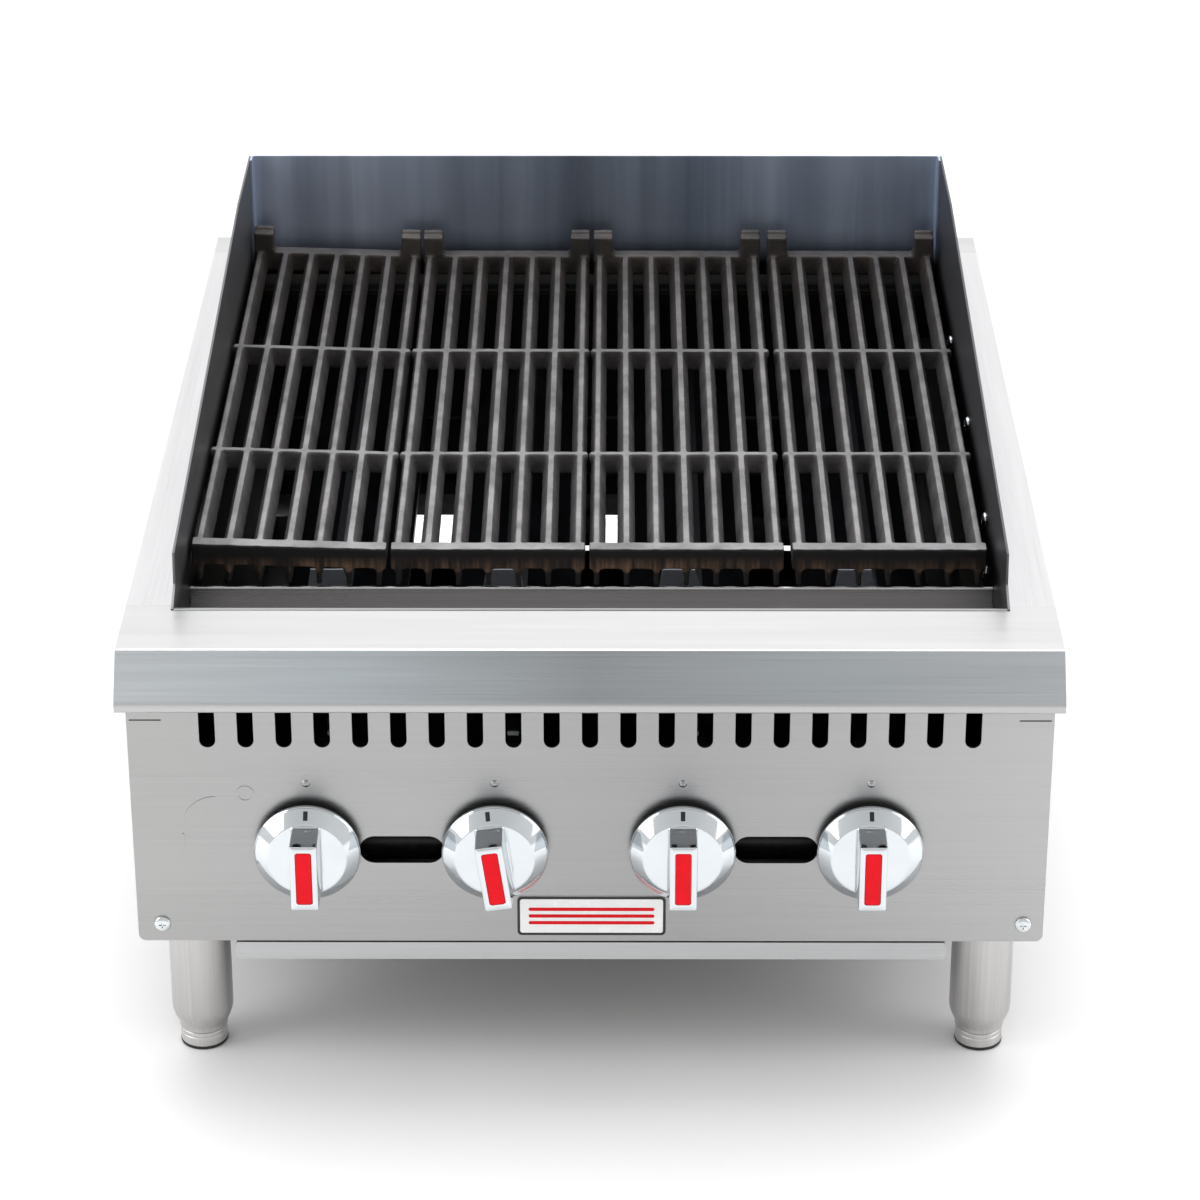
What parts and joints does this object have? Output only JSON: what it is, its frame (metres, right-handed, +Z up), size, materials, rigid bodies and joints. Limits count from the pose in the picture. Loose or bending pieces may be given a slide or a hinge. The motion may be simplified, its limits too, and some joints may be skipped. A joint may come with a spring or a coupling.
{
  "type": "countertop gas charbroiler",
  "caption": "Countertop gas charbroiler: stainless body on adjustable legs, lift-off cast-iron grates over radiants and burners, chrome knobs and a pull-out drip tray.",
  "frame": {"origin": "on the surface it stands on, under the middle of the whole object's box", "axes": "+X to the right as seen from the front, +Y to the back, +Z up"},
  "size_m": [0.61, 0.7954, 0.409],
  "materials": {
    "deck_steel": "bright brushed stainless",
    "panel_steel": "brushed stainless",
    "guard_steel": "brushed stainless, vertical grain, heat darkened",
    "liner_steel": "dull steel sheet",
    "frame_steel": "galvanised",
    "tray_steel": "satin stainless",
    "grate_iron": "as-cast, worn on top",
    "radiant_steel": "formed stainless",
    "burner_iron": "as-cast",
    "gas_pipe": "black pipe",
    "valve_brass": "machined",
    "screw_zinc": "zinc plated",
    "knob_chrome": "polished",
    "knob_red": "glossy",
    "nameplate": "printed plate with no lettering",
    "leg_steel": "brushed stainless tube",
    "foot_steel": "brushed, black pad"
  },
  "bodies": {
    "charbroiler_body": {"front_deck": "deck_steel", "control_panel": "panel_steel", "nameplate": "nameplate", "rear_panel": "deck_steel", "guard_back": "guard_steel", "drip_trough": "liner_steel", "grate_rest_rear": "liner_steel", "firebox_front": "liner_steel", "firebox_rear": "liner_steel", "base_rail_front": "frame_steel", "base_rail_rear": "frame_steel", "burner_rests": "liner_steel", "gas_manifold": "gas_pipe", "supply_pipe": "gas_pipe", "gas_valves": "valve_brass", "pilot_tubes": "screw_zinc", "pan_head_screws": "screw_zinc", "side_panel_left": "deck_steel", "side_panel_right": "deck_steel", "side_ledge_left": "deck_steel", "side_ledge_right": "deck_steel", "guard_left": "guard_steel", "guard_right": "guard_steel", "firebox_left": "liner_steel", "firebox_right": "liner_steel", "tray_runner_left": "frame_steel", "tray_runner_right": "frame_steel", "radiant_1": "radiant_steel", "radiant_2": "radiant_steel", "radiant_3": "radiant_steel", "radiant_4": "radiant_steel", "burner_1": "burner_iron", "burner_2": "burner_iron", "burner_3": "burner_iron", "burner_4": "burner_iron", "leg_front_left": "leg_steel", "leg_front_right": "leg_steel", "leg_rear_left": "leg_steel", "leg_rear_right": "leg_steel"},
    "cooking_grate_1": {"grate_1": "grate_iron"},
    "control_knob_1": {"knob_1": "knob_chrome", "knob_insert_1": "knob_red"},
    "shutter_1": {"air_shutter_1": "screw_zinc"},
    "cooking_grate_2": {"grate_2": "grate_iron"},
    "control_knob_2": {"knob_2": "knob_chrome", "knob_insert_2": "knob_red"},
    "shutter_2": {"air_shutter_2": "screw_zinc"},
    "cooking_grate_3": {"grate_3": "grate_iron"},
    "control_knob_3": {"knob_3": "knob_chrome", "knob_insert_3": "knob_red"},
    "shutter_3": {"air_shutter_3": "screw_zinc"},
    "cooking_grate_4": {"grate_4": "grate_iron"},
    "control_knob_4": {"knob_4": "knob_chrome", "knob_insert_4": "knob_red"},
    "shutter_4": {"air_shutter_4": "screw_zinc"},
    "foot_pad_front_left": {"foot_front_left": "foot_steel"},
    "foot_pad_front_right": {"foot_front_right": "foot_steel"},
    "foot_pad_rear_left": {"foot_rear_left": "foot_steel"},
    "foot_pad_rear_right": {"foot_rear_right": "foot_steel"},
    "grease_tray": {"drip_tray": "tray_steel"}
  },
  "joints": [
    {"name": "knob_1_turn", "type": "hinge", "parent": "charbroiler_body", "child": "control_knob_1", "pos_m": [-0.1867, -0.35535, 0.178], "axis": [0, -1, 0], "range_deg": [0, 90]},
    {"name": "knob_2_turn", "type": "hinge", "parent": "charbroiler_body", "child": "control_knob_2", "pos_m": [-0.0629, -0.35535, 0.178], "axis": [0, -1, 0], "range_deg": [-8, 82]},
    {"name": "knob_3_turn", "type": "hinge", "parent": "charbroiler_body", "child": "control_knob_3", "pos_m": [0.0609, -0.35535, 0.178], "axis": [0, -1, 0], "range_deg": [0, 90]},
    {"name": "knob_4_turn", "type": "hinge", "parent": "charbroiler_body", "child": "control_knob_4", "pos_m": [0.1847, -0.35535, 0.178], "axis": [0, -1, 0], "range_deg": [0, 90]},
    {"name": "grate_1_lift", "type": "slide", "parent": "charbroiler_body", "child": "cooking_grate_1", "axis": [0, 0, 1], "range_m": [0, 0.13]},
    {"name": "grate_2_lift", "type": "slide", "parent": "charbroiler_body", "child": "cooking_grate_2", "axis": [0, 0, 1], "range_m": [0, 0.13]},
    {"name": "grate_3_lift", "type": "slide", "parent": "charbroiler_body", "child": "cooking_grate_3", "axis": [0, 0, 1], "range_m": [0, 0.13]},
    {"name": "grate_4_lift", "type": "slide", "parent": "charbroiler_body", "child": "cooking_grate_4", "axis": [0, 0, 1], "range_m": [0, 0.13]},
    {"name": "air_shutter_1_turn", "type": "hinge", "parent": "charbroiler_body", "child": "shutter_1", "pos_m": [-0.1777, -0.23335, 0.178], "axis": [0, -1, 0], "range_deg": [-40, 40]},
    {"name": "air_shutter_2_turn", "type": "hinge", "parent": "charbroiler_body", "child": "shutter_2", "pos_m": [-0.0539, -0.23335, 0.178], "axis": [0, -1, 0], "range_deg": [-40, 40]},
    {"name": "air_shutter_3_turn", "type": "hinge", "parent": "charbroiler_body", "child": "shutter_3", "pos_m": [0.0699, -0.23335, 0.178], "axis": [0, -1, 0], "range_deg": [-40, 40]},
    {"name": "air_shutter_4_turn", "type": "hinge", "parent": "charbroiler_body", "child": "shutter_4", "pos_m": [0.1937, -0.23335, 0.178], "axis": [0, -1, 0], "range_deg": [-40, 40]},
    {"name": "tray_pull", "type": "slide", "parent": "charbroiler_body", "child": "grease_tray", "axis": [0, -1, 0], "range_m": [0, 0.45]},
    {"name": "foot_front_left_adjust", "type": "slide", "parent": "charbroiler_body", "child": "foot_pad_front_left", "axis": [0, 0, -1], "range_m": [0, 0.025]},
    {"name": "foot_front_right_adjust", "type": "slide", "parent": "charbroiler_body", "child": "foot_pad_front_right", "axis": [0, 0, -1], "range_m": [0, 0.025]},
    {"name": "foot_rear_left_adjust", "type": "slide", "parent": "charbroiler_body", "child": "foot_pad_rear_left", "axis": [0, 0, -1], "range_m": [0, 0.025]},
    {"name": "foot_rear_right_adjust", "type": "slide", "parent": "charbroiler_body", "child": "foot_pad_rear_right", "axis": [0, 0, -1], "range_m": [0, 0.025]}
  ]
}
